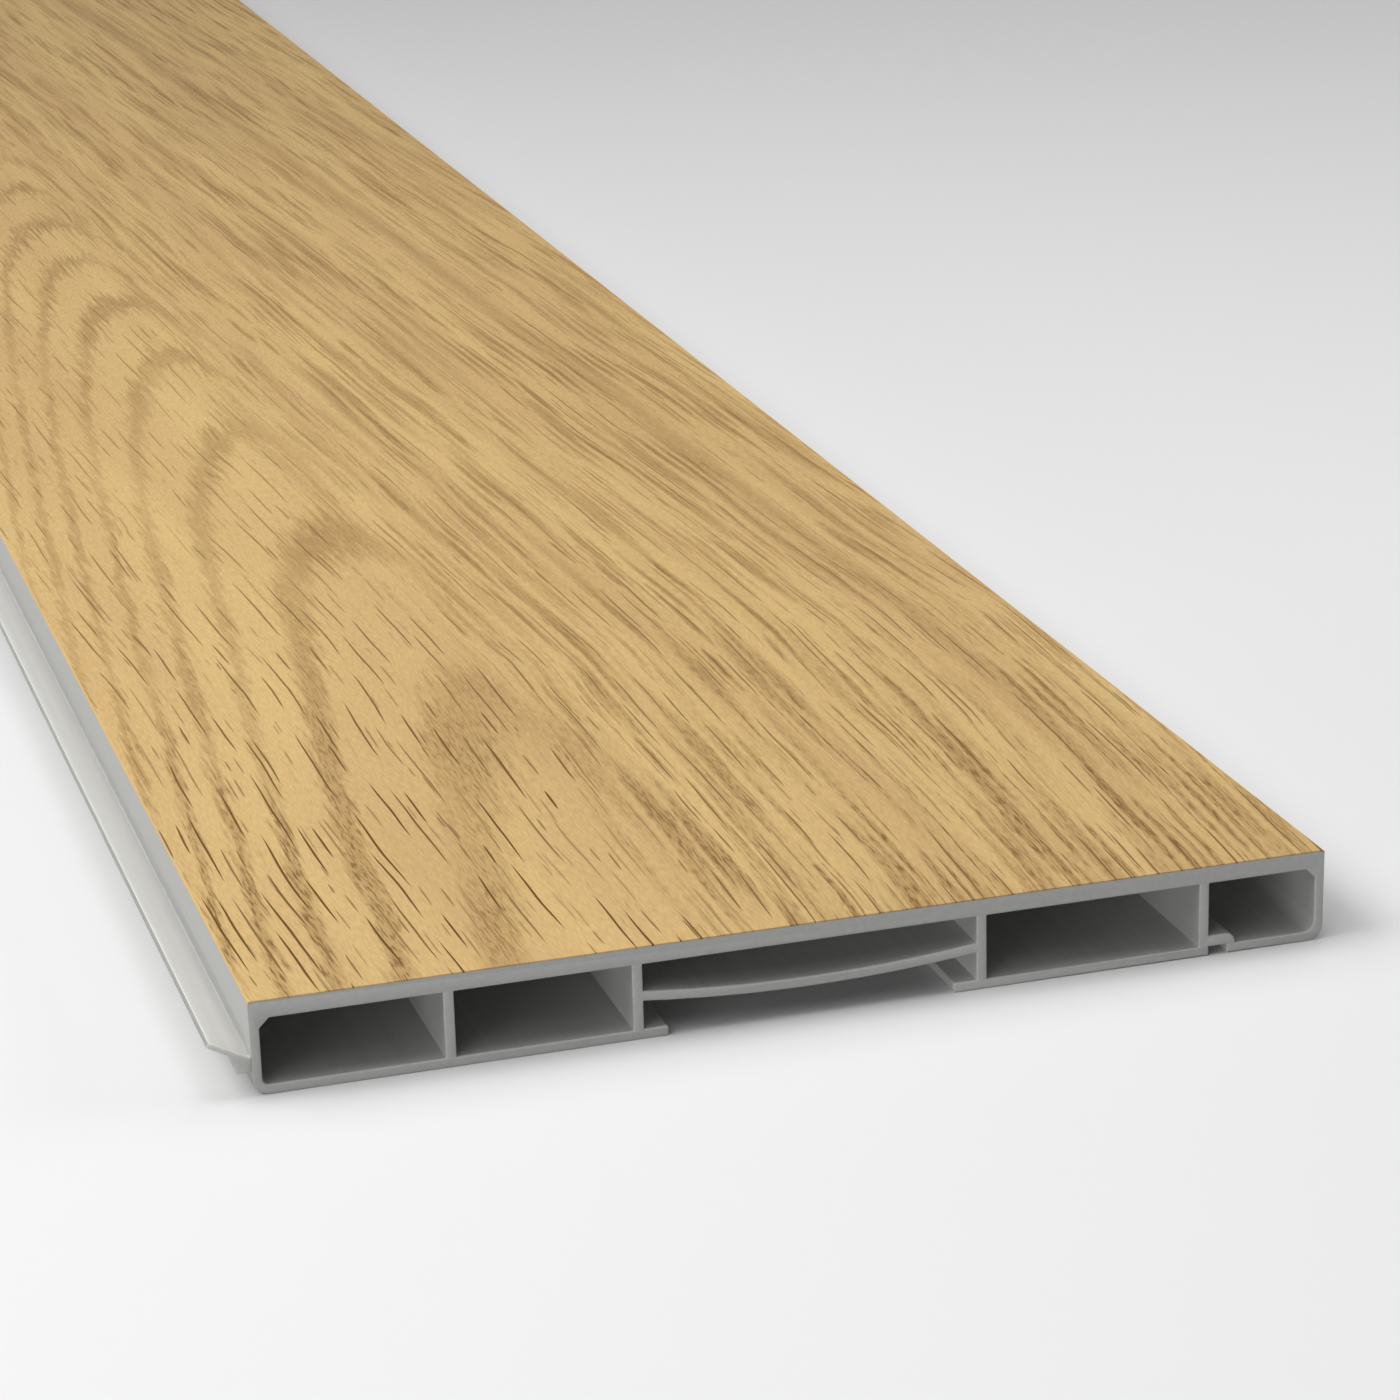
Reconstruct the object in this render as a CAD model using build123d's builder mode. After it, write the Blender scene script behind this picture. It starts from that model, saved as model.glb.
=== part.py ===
from build123d import *
import os
from math import cos, radians, sin

# A cabinet toe kick: a hollow extruded PVC board with an oak-effect film on its face and a soft
# lip along its floor edge. It lies on its back with the face up. X runs across the board from the
# floor edge to the top edge, Y along its length and Z through its thickness. The origin is at the
# middle of the base of the whole board, lip included. Lengths are in millimetres, angles in degrees.

# The board and its film
length = 1000.0
board_width = 150.0
board_thickness = 13.2
film_thickness = 0.2
edge_radius = 0.4
back_corner_radius = 2.2
end_break = 0.15

# Walls of the extrusion
face_wall = 2.4
back_wall = 1.4
side_wall = 1.35
web_wall = 1.45
corner_brace = 1.35
floor_chamber_radius = 0.8
top_chamber_radius = 1.6

# Webs that stand alone: the middle of one from the floor edge, of the other from the top edge
floor_web_place = 26.25
top_web_place = 17.8

# Clip channel in the back, its middle a little nearer the top edge than the board's
channel_offset = 0.75
channel_width = 46.7
mouth_width = 40.0
hook_radius = 0.35
bridge_height = 5.4
bridge_wall = 1.4
bridge_sag = 1.3

# Groove in the back beside the top web, and the wall folded over it
groove_width = 2.7
groove_depth = 1.3
groove_roof = 1.6
groove_cheek = 1.2
groove_fold_radius = 1.3

# Sealing lip on the floor edge: heights above the back, and lengths away from the side wall
lip_low = 3.4
lip_high = 5.5
lip_notch = 0.2
foot_reach = 1.95
flap_length = 5.85
flap_thickness = 0.75
flap_angle = 29.0
flap_held = 2.8

# Places across the board
flap_turn = radians(flap_angle)
lip_reach = lip_notch + flap_length * cos(flap_turn) + flap_thickness * sin(flap_turn)
floor_edge = (lip_reach - board_width) / 2
top_edge = floor_edge + board_width
floor_wall_inside = floor_edge + side_wall
top_wall_inside = top_edge - side_wall
floor_web = floor_edge + floor_web_place
top_web = top_edge - top_web_place
channel_middle = (floor_edge + top_edge) / 2 + channel_offset
channel_low = channel_middle - channel_width / 2
channel_high = channel_middle + channel_width / 2
mouth_low = channel_middle - mouth_width / 2
mouth_high = channel_middle + mouth_width / 2

# Places through the board
ceiling = board_thickness - film_thickness - face_wall
film_foot = board_thickness - edge_radius


def rounded_face(inset):
    """Return the top of the board's section, drawn this far inside its outer surface."""
    radius = edge_radius - inset
    with BuildSketch() as outline:
        with BuildLine():
            floor_turn = JernArc((floor_edge + inset, film_foot), (0, 1), radius, -90)
            top_turn = JernArc((top_edge - edge_radius, board_thickness - inset), (1, 0), radius, -90)
            Line(floor_turn @ 1, top_turn @ 0)
            Line(top_turn @ 1, floor_turn @ 0)
        make_face()
    return outline.sketch


def chamber(low, high):
    """Return a rectangular chamber between two walls, from the back wall up to the face wall."""
    with BuildSketch() as outline:
        with Locations((low, back_wall)):
            Rectangle(high - low, ceiling - back_wall, align=(Align.MIN, Align.MIN))
    return outline.sketch


# Chamber along the floor edge, braced under the face and rounded above the back
with BuildSketch() as floor_chamber:
    add(chamber(floor_wall_inside, floor_web - web_wall / 2))
    chamfer(floor_chamber.vertices().group_by(Axis.X)[0].sort_by(Axis.Y)[-1], corner_brace)
    fillet(floor_chamber.vertices().group_by(Axis.X)[0].sort_by(Axis.Y)[0], floor_chamber_radius)

# Chamber along the top edge, with the wall folded over the groove standing in it
groove_side = top_web + web_wall / 2
fold_width = groove_width + groove_cheek
fold_height = groove_depth + groove_roof - back_wall
with BuildSketch() as top_chamber:
    add(chamber(groove_side, top_wall_inside))
    chamfer(top_chamber.vertices().group_by(Axis.X)[-1].sort_by(Axis.Y)[-1], corner_brace)
    fillet(top_chamber.vertices().group_by(Axis.X)[-1].sort_by(Axis.Y)[0], top_chamber_radius)
    with Locations((groove_side, back_wall)):
        Rectangle(fold_width, fold_height, align=(Align.MIN, Align.MIN), mode=Mode.SUBTRACT)
    fold_corner = Vector(groove_side + fold_width, back_wall + fold_height)
    fillet(top_chamber.vertices().sort_by_distance(fold_corner)[0], groove_fold_radius)

# Clip channel: open between its hooks, with the bowed bridge for a roof
with BuildSketch() as clip_channel:
    with BuildLine():
        roof = ThreePointArc(
            (channel_low, bridge_height),
            (channel_middle, bridge_height - bridge_sag),
            (channel_high, bridge_height),
        )
        Polyline(
            roof @ 1,
            (channel_high, back_wall),
            (mouth_high, back_wall),
            (mouth_high, 0),
            (mouth_low, 0),
            (mouth_low, back_wall),
            (channel_low, back_wall),
            roof @ 0,
        )
    make_face()

# Chamber between the bowed bridge and the face wall
bridge_top = bridge_height + bridge_wall
with BuildSketch() as bridge_chamber:
    with BuildLine():
        floor = ThreePointArc(
            (channel_low, bridge_top),
            (channel_middle, bridge_top - bridge_sag),
            (channel_high, bridge_top),
        )
        Polyline(floor @ 1, (channel_high, ceiling), (channel_low, ceiling), floor @ 0)
    make_face()

# Rigid board, its sawn ends eased everywhere but under the film
with BuildPart() as plinth_profile:
    with BuildSketch(Plane.XZ) as section:
        with Locations((floor_edge, 0)):
            Rectangle(board_width, film_foot, align=(Align.MIN, Align.MIN))
        fillet(section.vertices().group_by(Axis.Y)[0], back_corner_radius)
        add(rounded_face(film_thickness))
        add(floor_chamber.sketch, mode=Mode.SUBTRACT)
        add(chamber(floor_web + web_wall / 2, channel_low - web_wall), mode=Mode.SUBTRACT)
        add(clip_channel.sketch, mode=Mode.SUBTRACT)
        add(bridge_chamber.sketch, mode=Mode.SUBTRACT)
        add(chamber(channel_high + web_wall, top_web - web_wall / 2), mode=Mode.SUBTRACT)
        add(top_chamber.sketch, mode=Mode.SUBTRACT)
        with Locations((groove_side, 0)):
            Rectangle(groove_width, groove_depth, align=(Align.MIN, Align.MIN), mode=Mode.SUBTRACT)
        hook_tips = [
            section.vertices().sort_by_distance(Vector(place, height))[0]
            for place in (mouth_low, mouth_high)
            for height in (0, back_wall)
        ]
        fillet(hook_tips, hook_radius)
    extrude(amount=length / 2, both=True)
    sawn_edges = plinth_profile.faces().filter_by(Axis.Y).edges()
    chamfer(sawn_edges.filter_by(lambda edge: edge.center().Z < film_foot - end_break), end_break)

# Film over the face, its edges turned round the long corners to lie flush with the side walls
with BuildPart() as decor_film:
    with BuildSketch(Plane.XZ):
        add(rounded_face(0))
        add(rounded_face(film_thickness), mode=Mode.SUBTRACT)
    extrude(amount=length / 2, both=True)

# Soft lip: a foot bonded to the side wall, and a thin flap that rises towards the face
with BuildPart() as sealing_lip:
    with BuildSketch(Plane.XZ):
        with BuildLine():
            flap_top = PolarLine((floor_edge - lip_notch, lip_high), flap_length, 180 - flap_angle)
            flap_tip = PolarLine(flap_top @ 1, flap_thickness, 270 - flap_angle)
            flap_under = PolarLine(flap_tip @ 1, flap_length - flap_held, -flap_angle)
            Polyline(
                flap_under @ 1,
                (floor_edge - foot_reach, lip_low),
                (floor_edge, lip_low),
                (floor_edge, lip_high - lip_notch),
                flap_top @ 0,
            )
        make_face()
    extrude(amount=length / 2, both=True)

os.makedirs("parts", exist_ok=True)
plinth_profile.part.label = "plinth_profile"
export_step(plinth_profile.part, "parts/plinth_profile.step")
decor_film.part.label = "decor_film"
export_step(decor_film.part, "parts/decor_film.step")
sealing_lip.part.label = "sealing_lip"
export_step(sealing_lip.part, "parts/sealing_lip.step")
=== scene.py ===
"""Dress the packed cabinet toe kick for a render.

A hollow PVC plinth board lies on its back on a pale floor, with an oak-effect film on its face and a soft
sealing lip along its floor edge. X runs across the board from the floor edge to the top edge, Y along its
length and Z out of its face. Everything is in metres, in the frame of the packed model.
"""
from functools import partial
from math import cos, radians, sin

import bpy
import numpy as np
from mathutils import Euler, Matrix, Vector
from mathutils.geometry import tessellate_polygon


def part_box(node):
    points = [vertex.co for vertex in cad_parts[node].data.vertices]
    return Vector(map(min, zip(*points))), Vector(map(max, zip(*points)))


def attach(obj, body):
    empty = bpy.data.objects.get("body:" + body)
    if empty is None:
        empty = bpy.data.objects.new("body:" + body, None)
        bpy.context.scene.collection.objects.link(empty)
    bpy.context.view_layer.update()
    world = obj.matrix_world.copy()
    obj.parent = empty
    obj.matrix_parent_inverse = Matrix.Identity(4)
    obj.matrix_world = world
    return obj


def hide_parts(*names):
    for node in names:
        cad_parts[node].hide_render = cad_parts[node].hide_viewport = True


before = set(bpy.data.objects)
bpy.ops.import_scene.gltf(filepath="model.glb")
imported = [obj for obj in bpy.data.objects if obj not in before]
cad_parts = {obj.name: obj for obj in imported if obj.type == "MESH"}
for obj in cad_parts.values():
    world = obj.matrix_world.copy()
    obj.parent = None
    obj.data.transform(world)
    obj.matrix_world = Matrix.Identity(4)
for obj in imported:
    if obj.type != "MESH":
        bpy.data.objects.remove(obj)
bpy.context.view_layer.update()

bl_info = {
    "name": "Cabinet Toe Kick",
    "version": (1, 0, 0),
    "blender": (4, 5, 0),
    "location": "View3D > Sidebar > Toe Kick",
    "description": "Builds a hollow plinth board with an oak-effect film and a soft sealing lip",
    "category": "Add Mesh",
}

MM = 0.001
BOARD_LOW, BOARD_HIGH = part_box("plinth_profile")
FILM_LOW, FILM_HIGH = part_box("decor_film")


def linear(hex_colour):
    """Turn an sRGB hex colour such as D6B470 into linear red, green and blue."""
    srgb = np.array([int(hex_colour[place:place + 2], 16) for place in (0, 2, 4)]) / 255
    return tuple(np.where(srgb <= 0.04045, srgb / 12.92, ((srgb + 0.055) / 1.055) ** 2.4))


def length_property(name, description, millimetres):
    """Return a length that a user can change, given in millimetres and kept in metres."""
    return bpy.props.FloatProperty(
        name=name, description=description, default=millimetres * MM, min=0.0, precision=5, unit="LENGTH"
    )


def colour_property(name, description, hex_colour):
    """Return a colour that a user can change, given as an sRGB hex value and kept linear."""
    return bpy.props.FloatVectorProperty(
        name=name, description=description, default=linear(hex_colour), min=0.0, max=1.0, subtype="COLOR"
    )


# Settings

class ToeKickBoard(bpy.types.PropertyGroup):
    """Sizes and colour of the hollow rigid board."""

    length: length_property("Length", "Length of the board", (BOARD_HIGH[1] - BOARD_LOW[1]) / MM)
    width: length_property("Width", "Height of the standing plinth", (BOARD_HIGH[0] - BOARD_LOW[0]) / MM)
    floor_edge: bpy.props.FloatProperty(
        name="Floor edge", description="Place of the floor edge across", default=BOARD_LOW[0], unit="LENGTH"
    )
    thickness: length_property("Thickness", "Thickness of the board with its film", FILM_HIGH[2] / MM)
    back_corner_radius: length_property("Back corners", "Radius along both edges of the back", 2.2)
    end_break: length_property("End break", "Rounding of the sawn ends", 0.2)
    die_radius: length_property("Die radius", "Radius that the die leaves in each small corner", 0.12)
    face_wall: length_property("Face wall", "Thickness of the wall under the film", 2.4)
    back_wall: length_property("Back wall", "Thickness of the wall at the back", 1.4)
    side_wall: length_property("Side walls", "Thickness of the walls along both edges", 1.35)
    web_wall: length_property("Webs", "Thickness of the webs", 1.45)
    corner_brace: length_property("Corner braces", "Leg of the brace in both outer corners", 1.35)
    floor_chamber_radius: length_property("Floor chamber radius", "Inner radius by the floor edge", 0.8)
    top_chamber_radius: length_property("Top chamber radius", "Inner radius by the top edge", 1.6)
    floor_web_place: length_property("Floor web", "Middle of the first web from the floor edge", 26.25)
    top_web_place: length_property("Top web", "Middle of the last web from the top edge", 17.8)
    channel_offset: length_property("Channel offset", "Middle of the channel past the board's middle", 0.75)
    channel_width: length_property("Channel width", "Width inside the clip channel", 46.7)
    mouth_width: length_property("Mouth width", "Width between the hooks", 40.0)
    hook_radius: length_property("Hook radius", "Rounding of the hooks' tips", 0.35)
    bridge_height: length_property("Bridge height", "Underside of the bridge where it meets the webs", 5.4)
    bridge_wall: length_property("Bridge", "Thickness of the bridge over the channel", 1.4)
    bridge_sag: length_property("Bridge sag", "How far the middle of the bridge hangs", 1.3)
    groove_width: length_property("Groove width", "Width of the small groove in the back", 2.7)
    groove_depth: length_property("Groove depth", "Depth of the small groove in the back", 1.3)
    groove_roof: length_property("Groove roof", "Wall folded over the groove", 1.6)
    groove_cheek: length_property("Groove cheek", "Wall folded down beside the groove", 1.2)
    groove_fold_radius: length_property("Groove fold radius", "Outer radius of that fold", 1.3)
    colour: colour_property("Rigid PVC", "Colour of the extruded board", "ABABA9")


class ToeKickFilm(bpy.types.PropertyGroup):
    """Sizes and colours of the oak-effect film."""

    thickness: length_property("Thickness", "Thickness of the film", 0.2)
    edge_radius: length_property("Edge radius", "Radius over both long edges", 0.4)
    end_break: length_property("End break", "Rounding of the film's cut ends", 0.04)
    light: colour_property("Late wood", "Lightest wood, between the rings", "CCAE77")
    middle: colour_property("Wood", "Commonest tone of the wood", "C3A371")
    ring: colour_property("Ring", "Early wood along each ring", "957448")
    pore: colour_property("Pore", "Open pores", "624321")
    edge: colour_property("Turned edge", "Stretched print where the film turns down", "C9A86E")


class ToeKickLip(bpy.types.PropertyGroup):
    """Sizes and colours of the soft lip."""

    low: length_property("Low", "Underside of the foot above the back", 3.4)
    high: length_property("High", "Root of the flap above the back", 5.5)
    ledge: length_property("Ledge", "Width of the ledge between the flap's root and the side wall", 0.2)
    foot_reach: length_property("Foot reach", "How far the foot stands out of the side wall", 1.95)
    flap_length: length_property("Flap length", "Length of the flap along its upper face", 5.85)
    flap_thickness: length_property("Flap thickness", "Thickness of the flap", 0.75)
    flap_held: length_property("Flap held", "Length of the flap's underside that the foot takes", 2.8)
    flap_angle: bpy.props.FloatProperty(
        name="Flap angle", description="Rise of the flap", default=radians(29.0), subtype="ANGLE"
    )
    corner_radius: length_property("Corners", "Rounding of the lip's corners", 0.08)
    colour: colour_property("Soft PVC", "Colour of the lip", "CECDC9")
    # The ledge colour is a painted highlight along the flap's root
    painted_root_highlight: colour_property("Ledge colour", "Colour of the polished ledge at the root", "F8F8F5")
    # The cut and thin edge colours are painted shade on the faces that look along the board and along the
    # flap
    cut: colour_property("Cut soft PVC", "Colour of the lip's sawn ends", "BBBCB7")
    painted_edge_shade: colour_property("Thin edge", "Colour of the thin edge of the flap", "8A8C86")


class ToeKickStage(bpy.types.PropertyGroup):
    """Camera, light and floor."""

    camera_place: bpy.props.FloatVectorProperty(
        name="Camera", description="Place of the camera", default=(-0.155277, -0.985424, 0.220559),
        subtype="TRANSLATION", unit="LENGTH"
    )
    camera_turn: bpy.props.FloatVectorProperty(
        name="Camera turn", description="Rotation of the camera", subtype="EULER",
        default=(radians(70.9885), radians(1.5226), radians(-17.0917))
    )
    lens: bpy.props.FloatProperty(
        name="Lens", description="Focal length on a 36 mm sensor", default=106.978,
        subtype="DISTANCE_CAMERA"
    )
    floor_size: length_property("Floor size", "Length of each side of the floor", 16000.0)
    lamp_size: length_property("Lamp size", "Diameter of each soft lamp", 1100.0)
    strip_height: length_property("Strip height", "Height of each strip lamp", 280.0)
    lamp_distance: length_property("Lamp distance", "Distance of each lamp from the board", 1800.0)
    # The near and far floor colours paint the light falling off across the sweep
    near_floor: colour_property("Near floor", "Colour of the sweep in front of the board", "E5E5E5")
    far_floor: colour_property("Far floor", "Colour of the sweep behind the board", "C8C8C8")
    bounce: colour_property("Bounce", "Colour of the sweep for the light that it throws back", "8A8A8A")
    background: colour_property("Background", "Colour that the sweep fades into", "D2D2D2")


# Meshes

def bow(low, high, height, sag, steps=28):
    """Return the inner points of a sagging bow, as outline rows with no radius.

    The bow is the circle through both ends and the lowest point: its radius is the half span squared plus
    the sag squared, over twice the sag. Its points stand at equal angles from end to end.
    """
    half_span = (high - low) / 2
    radius = (half_span ** 2 + sag ** 2) / (2 * sag)
    reach = np.arcsin(half_span / radius)
    angles = np.linspace(-reach, reach, steps + 1)[1:-1]
    across = (low + high) / 2 + radius * np.sin(angles)
    heights = height - sag + radius * (1 - np.cos(angles))
    return np.stack([across, heights, np.zeros_like(angles)], axis=1)


def rounded(corners, steps=6):
    """Return a closed outline whose corners are rounded, as places across and heights.

    Each row of corners is a place across, a height and a radius. The arc's centre lies on the bisector of
    the corner, at the radius over the sine of half its angle. Its points go from one edge to the other by
    turning the spoke of the centre in equal steps. A corner with no radius stays a single point.
    """
    rows = np.asarray(corners, dtype=float)
    place = rows[:, :2]
    radius = rows[:, 2:]
    back = np.roll(place, 1, axis=0) - place
    ahead = np.roll(place, -1, axis=0) - place
    back /= np.linalg.norm(back, axis=1, keepdims=True)
    ahead /= np.linalg.norm(ahead, axis=1, keepdims=True)
    half_cosine = np.linalg.norm(back + ahead, axis=1, keepdims=True) / 2
    half_sine = np.sqrt(1 - half_cosine ** 2)
    centre = place + (back + ahead) / (2 * half_cosine) * radius / half_sine
    first_spoke = place + back * radius * half_cosine / half_sine - centre
    last_spoke = place + ahead * radius * half_cosine / half_sine - centre
    turn = (np.pi - 2 * np.arcsin(half_sine))[:, None]
    share = np.linspace(0, 1, steps)[None, :, None]
    spokes = np.sin((1 - share) * turn) * first_spoke[:, None] + np.sin(share * turn) * last_spoke[:, None]
    outline = (centre[:, None] + spokes / np.sin(turn)).reshape(-1, 2)
    gaps = np.linalg.norm(outline - np.roll(outline, 1, axis=0), axis=1)
    return outline[gaps > 0.0005 * MM]


def mitre(outline):
    """Return the vector at each point that moves both its edges inwards by one.

    With the normals of the two edges, it is their sum over one plus their product.
    """
    along = np.roll(outline, -1, axis=0) - outline
    along /= np.linalg.norm(along, axis=1, keepdims=True)
    after = np.stack([-along[:, 1], along[:, 0]], axis=1)
    before = np.roll(after, 1, axis=0)
    return (before + after) / (1 + np.sum(before * after, axis=1, keepdims=True))


def carried_along(outlines, length, end_break, eased_below):
    """Carry a section along the board, with both ends rounded and closed.

    The section is one outer outline followed by its holes, each with the solid on its left. A row of points
    is the section at one place along Y, drawn in by an inset. At an end the inset and the place follow a
    quarter circle of the end break's radius. Points above the given height keep their place.
    """
    quarter = np.linspace(0, np.pi / 2, 4)
    insets = end_break * (1 - np.sin(quarter))
    steps_in = end_break * (1 - np.cos(quarter))
    along = np.concatenate([steps_in - length / 2, length / 2 - steps_in[::-1]])
    insets = np.concatenate([insets, insets[::-1]])
    vertices = []
    quads = []
    near = []
    start = 0
    for outline in outlines:
        count = len(outline)
        eased = np.clip((eased_below - outline[:, 1]) / (2 * end_break), 0, 1)[:, None]
        rows = outline + insets[:, None, None] * (mitre(outline) * eased)
        places = np.broadcast_to(along[:, None], rows.shape[:2])
        vertices.append(np.stack([rows[..., 0], places, rows[..., 1]], axis=-1).reshape(-1, 3))
        row = np.arange(len(along) - 1)[:, None] * count + start
        here = np.arange(count)[None]
        ahead = (here + 1) % count
        quad = np.stack([row + here, row + count + here, row + count + ahead, row + ahead], axis=-1)
        quads.append(quad.reshape(-1, 4))
        near.append(np.arange(count) + start)
        start += len(along) * count
    vertices = np.concatenate(vertices)
    near_end = [vertices[points][:, [0, 2]] for points in near]
    far = np.concatenate([points + (len(along) - 1) * len(points) for points in near])
    near = np.concatenate(near)
    fans = np.array(tessellate_polygon([[Vector((x, z, 0)) for x, z in ring] for ring in near_end]))
    flat = vertices[near][:, [0, 2]][fans]
    first = flat[:, 1] - flat[:, 0]
    second = flat[:, 2] - flat[:, 0]
    turned = first[:, 0] * second[:, 1] < first[:, 1] * second[:, 0]
    fans[turned] = fans[turned][:, ::-1]
    return vertices, np.concatenate(quads), np.concatenate([near[fans], far[fans[:, ::-1]]])


def new_piece(name, vertices, quads, triangles, material):
    """Put a mesh of quads and triangles into the scene as one piece that rides on the board's body."""
    sharp_angle = radians(32)
    mesh = bpy.data.meshes.new(name)
    mesh.from_pydata(vertices, [], quads.tolist() + triangles.tolist())
    mesh.shade_smooth()
    mesh.set_sharp_from_angle(angle=sharp_angle)
    mesh.materials.append(material)
    piece = bpy.data.objects.new(name, mesh)
    bpy.context.collection.objects.link(piece)
    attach(piece, "root")
    return piece


def add_bake_map(piece, outline, inner):
    """Lay out a carried outline in a UV map, so that the print on its face gets nearly the whole map.

    Across the map the points of the outline follow its length, where the inner side counts for a twentieth
    and each short step for a least share. Along the map the rows of the piece follow each other, with a
    little room for the rows that round its ends. The end faces lie flat in a strip before and after them.
    """
    inner_share = 0.05
    least_share = 0.0015
    margin = 0.02
    first_row = 0.03
    row_step = 0.004
    strip_width = 0.012
    near_strip = 0.004
    far_strip = 0.982
    count = len(outline)
    rows = len(piece.data.vertices) // count
    steps = np.linalg.norm(np.roll(outline, -1, axis=0) - outline, axis=1)
    shares = np.where(inner & np.roll(inner, -1), inner_share, 1.0) * steps
    shares = np.maximum(shares, least_share * shares.sum())
    across = margin + (1 - 2 * margin) * np.concatenate([[0.0], np.cumsum(shares)]) / shares.sum()
    end_rows = first_row + row_step * np.arange(rows // 2)
    along = np.concatenate([end_rows, 1 - end_rows[::-1]])
    left, right = across[:-1], across[1:]
    low, high = along[:-1], along[1:]
    corners = [np.stack(np.broadcast_arrays(u[None], v[:, None]), axis=-1)
               for u, v in ((left, low), (left, high), (right, high), (right, low))]
    sides = np.stack(corners, axis=2).reshape(-1, 2)

    mesh = piece.data
    index = np.empty(len(mesh.loops), dtype=np.int32)
    mesh.loops.foreach_get("vertex_index", index)
    index = index[len(sides):]
    flat = (outline - outline.min(axis=0)) / np.ptp(outline, axis=0)
    ends = np.array([margin, 0.0]) + np.array([1 - 2 * margin, strip_width]) * flat[index % count]
    ends[:, 1] += np.where(index < count, near_strip, far_strip)
    layer = mesh.uv_layers.new(name="OFBake")
    layer.uv.foreach_set("vector", np.concatenate([sides, ends]).astype(np.float32).ravel())


# Materials

def add_node(tree, kind, inputs=None, **settings):
    """Add a shader node with its settings, give its inputs values or links, and return its first output."""
    node = tree.nodes.new("ShaderNode" + kind)
    for name, value in settings.items():
        setattr(node, name, value)
    for socket, value in (inputs or {}).items():
        if isinstance(value, bpy.types.NodeSocket):
            tree.links.new(value, node.inputs[socket])
        else:
            node.inputs[socket].default_value = value
    return next(output for output in node.outputs if output.enabled)


def new_material(name):
    """Return a new node material, its node tree, and the sockets of its Principled shader."""
    material = bpy.data.materials.new(name)
    material.use_nodes = True
    tree = material.node_tree
    return material, tree, tree.nodes["Principled BSDF"].inputs


def grain(tree, place, size, detail=1.0):
    """Return a noise from 0 to 1 whose lumps have this size in the units of the place."""
    scale = [1 / length if length else 0.0 for length in size]
    lumps = add_node(tree, "Mapping", {"Vector": place, "Scale": scale})
    return add_node(tree, "TexNoise", {"Vector": lumps, "Scale": 1.0, "Detail": detail})


def marks(tree, fibres, lane, cell, width, shortest, missing, core):
    """Return a mask of long thin marks along the fibres, with lengths in millimetres.

    The fibres are cut into lanes, and each lane into cells from a random start. A cell holds one mark: an
    ellipse of the given width, its own length and its own place across the lane. With the distances along
    and across as shares of its half sizes, the mask grows as the sum of their squares falls from one at the
    rim to the core's value. Shortest and missing are the least length as a share of the cell, and the share
    of the cells that stay empty.
    """
    node = partial(add_node, tree)
    across, along, _ = node("SeparateXYZ", {0: fibres}).node.outputs
    lanes = node("Math", {0: across, 1: lane}, operation="DIVIDE")
    lane_number = node("Math", {0: lanes}, operation="FLOOR")
    lane_part = node("Math", {0: lanes}, operation="FRACT")
    start = node("TexWhiteNoise", {"W": lane_number}, noise_dimensions="1D")
    cells = node("Math", {0: along, 1: 1 / cell, 2: start}, operation="MULTIPLY_ADD")
    cell_number = node("Math", {0: cells}, operation="FLOOR")
    cell_part = node("Math", {0: cells}, operation="FRACT")
    number = node("CombineXYZ", {0: lane_number, 1: cell_number})
    chance = node("TexWhiteNoise", {"Vector": number}, noise_dimensions="2D").node.outputs["Color"]
    long_chance, side_chance, dark_chance = node("SeparateColor", {0: chance}).node.outputs
    half_length = node("MapRange", {"Value": long_chance, "To Min": shortest / 2, "To Max": 0.5})
    slack = (1 - width / lane) / 2
    side = node("MapRange", {"Value": side_chance, "To Min": 0.5 - slack, "To Max": 0.5 + slack})
    off_along = node("Math", {0: cell_part, 1: 0.5}, operation="SUBTRACT")
    off_along = node("Math", {0: off_along, 1: half_length}, operation="DIVIDE")
    off_across = node("Math", {0: lane_part, 1: side}, operation="SUBTRACT")
    off_across = node("Math", {0: off_across, 1: 2 * lane / width}, operation="MULTIPLY")
    off = node("CombineXYZ", {0: off_along, 1: off_across})
    square = node("VectorMath", {0: off, 1: off}, operation="DOT_PRODUCT")
    mark = node("MapRange", {"Value": square, "From Min": 1.0, "From Max": core})
    dark = node("MapRange", {"Value": dark_chance, "From Min": missing, "From Max": missing + 0.4})
    return node("Math", {0: mark, 1: dark}, operation="MULTIPLY")


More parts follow.
